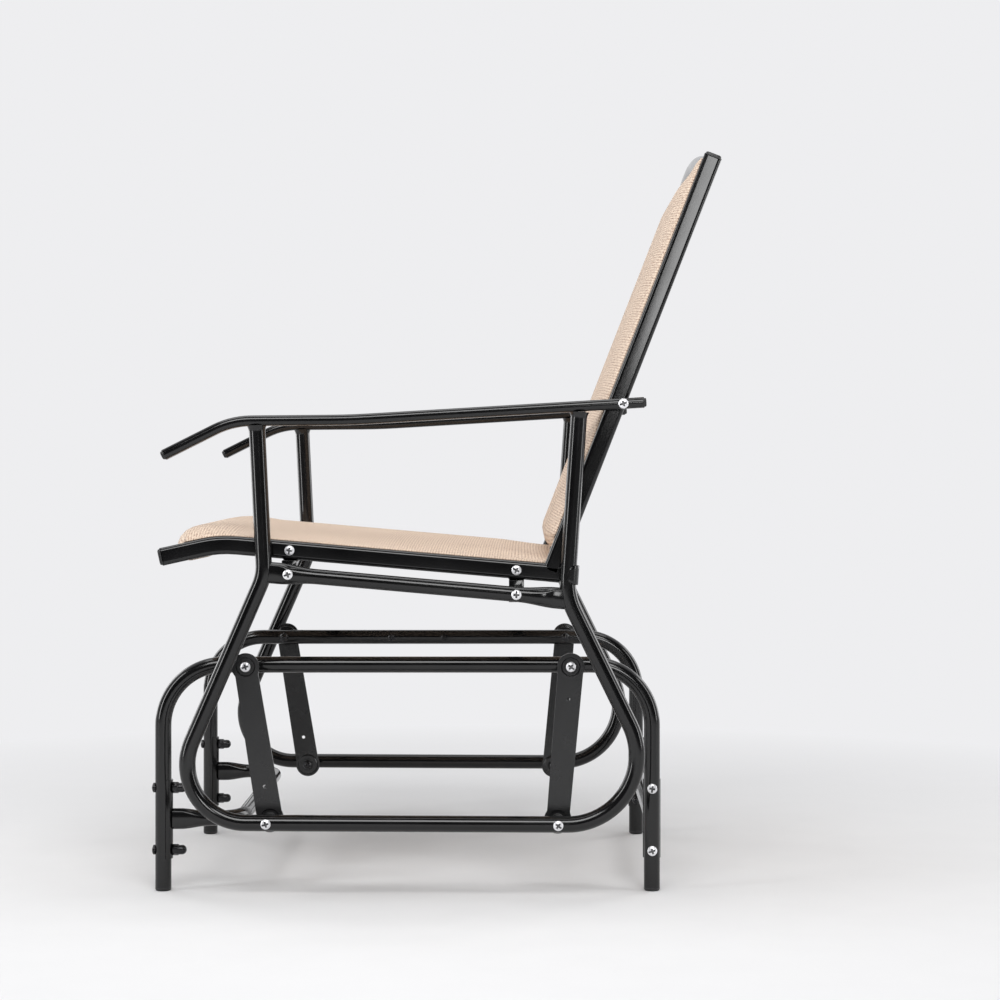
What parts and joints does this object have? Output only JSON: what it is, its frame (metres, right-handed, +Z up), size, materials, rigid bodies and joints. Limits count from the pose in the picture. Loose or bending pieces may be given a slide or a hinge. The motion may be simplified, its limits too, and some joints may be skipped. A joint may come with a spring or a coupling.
{
  "type": "glider chair",
  "caption": "Patio glider chair: a low tubular base carries a sling seat with back and armrests on swinging links, so the seat glides to and fro.",
  "frame": {"origin": "on the floor, under the middle of the chair's length and width", "axes": "+Z up; +X toward the back of the chair, so that it faces -X; +Y to the sitting person's right"},
  "size_m": [0.702, 0.632, 0.928],
  "materials": {
    "frame_paint": "black powder coat, satin",
    "link_paint": "dark grey powder coat, matt",
    "bearing_plastic": "moulded, matt",
    "bolt_steel": "zinc plated",
    "nut_steel": "black coated",
    "plug_plastic": "moulded, satin",
    "sling_mesh": "woven synthetic mesh, tan"
  },
  "bodies": {
    "base": {"base_frame_left": "frame_paint", "base_frame_right": "frame_paint", "foot_plugs": "plug_plastic", "upper_pivot_bolts": "bolt_steel", "upper_pivot_spacers": "frame_paint", "upper_pivot_nuts": "nut_steel", "rail_screws": "bolt_steel", "front_saddles": "frame_paint", "rear_saddles": "frame_paint", "front_crossbar_bolts": "bolt_steel", "front_crossbar_nuts": "nut_steel", "rear_crossbar_bolts": "bolt_steel", "rear_crossbar_nuts": "nut_steel", "front_crossbar": "frame_paint", "rear_crossbar": "frame_paint"},
    "front_link_left": {"front_link_left": "link_paint", "front_link_left_bearings": "bearing_plastic"},
    "front_link_right": {"front_link_right": "link_paint", "front_link_right_bearings": "bearing_plastic"},
    "rear_link_left": {"rear_link_left": "link_paint", "rear_link_left_bearings": "bearing_plastic", "rear_link_left_pin": "bolt_steel"},
    "rear_link_right": {"rear_link_right": "link_paint", "rear_link_right_bearings": "bearing_plastic", "rear_link_right_pin": "bolt_steel"},
    "seat": {"side_loop_left": "frame_paint", "side_loop_right": "frame_paint", "armrest_left": "frame_paint", "armrest_right": "frame_paint", "seat_rail_left": "frame_paint", "seat_rail_right": "frame_paint", "back_upright_left": "frame_paint", "back_upright_right": "frame_paint", "back_top_bar": "frame_paint", "back_lower_bar": "frame_paint", "seat_front_bar": "frame_paint", "support_rail_left": "frame_paint", "support_rail_right": "frame_paint", "front_stretcher": "frame_paint", "rear_stretcher": "frame_paint", "stretcher_brackets": "frame_paint", "rear_post_clips": "frame_paint", "lower_pivot_spacers": "frame_paint", "stretcher_bolts": "bolt_steel", "armrest_bolts": "bolt_steel", "lower_pivot_bolts": "bolt_steel", "stretcher_nuts": "nut_steel", "armrest_nuts": "nut_steel", "lower_pivot_nuts": "nut_steel", "armrest_plugs": "plug_plastic", "seat_rail_plugs": "plug_plastic", "back_upright_plugs": "plug_plastic", "seat_sling": "sling_mesh", "back_sling": "sling_mesh"}
  },
  "joints": [
    {"name": "front_link_left_swing", "type": "hinge", "parent": "base", "child": "front_link_left", "pos_m": [-0.2356, -0.259, 0.28], "axis": [0, 1, 0], "range_deg": [-29.3, 26]},
    {"name": "front_link_right_swing", "type": "hinge", "parent": "base", "child": "front_link_right", "pos_m": [-0.2356, 0.259, 0.28], "axis": [0, 1, 0], "range_deg": [-29.4, 26.1]},
    {"name": "rear_link_left_swing", "type": "hinge", "parent": "base", "child": "rear_link_left", "pos_m": [0.1637, -0.259, 0.28], "axis": [0, 1, 0], "range_deg": [-28.9, 25.7]},
    {"name": "rear_link_right_swing", "type": "hinge", "parent": "base", "child": "rear_link_right", "pos_m": [0.1637, 0.259, 0.28], "axis": [0, 1, 0], "range_deg": [-28.9, 25.7]},
    {"name": "seat_pivot", "type": "hinge", "parent": "front_link_left", "child": "seat", "pos_m": [-0.20554, -0.259, 0.09442], "axis": [0, 1, 0], "range_deg": [-29.4, 33.1]}
  ],
  "couplings": [
    {"joint": "front_link_right_swing", "follows": "front_link_left_swing", "ratio": 1},
    {"joint": "rear_link_left_swing", "follows": "front_link_left_swing", "ratio": 0.98},
    {"joint": "rear_link_right_swing", "follows": "front_link_left_swing", "ratio": 0.98},
    {"joint": "seat_pivot", "follows": "front_link_left_swing", "ratio": -1.125}
  ]
}
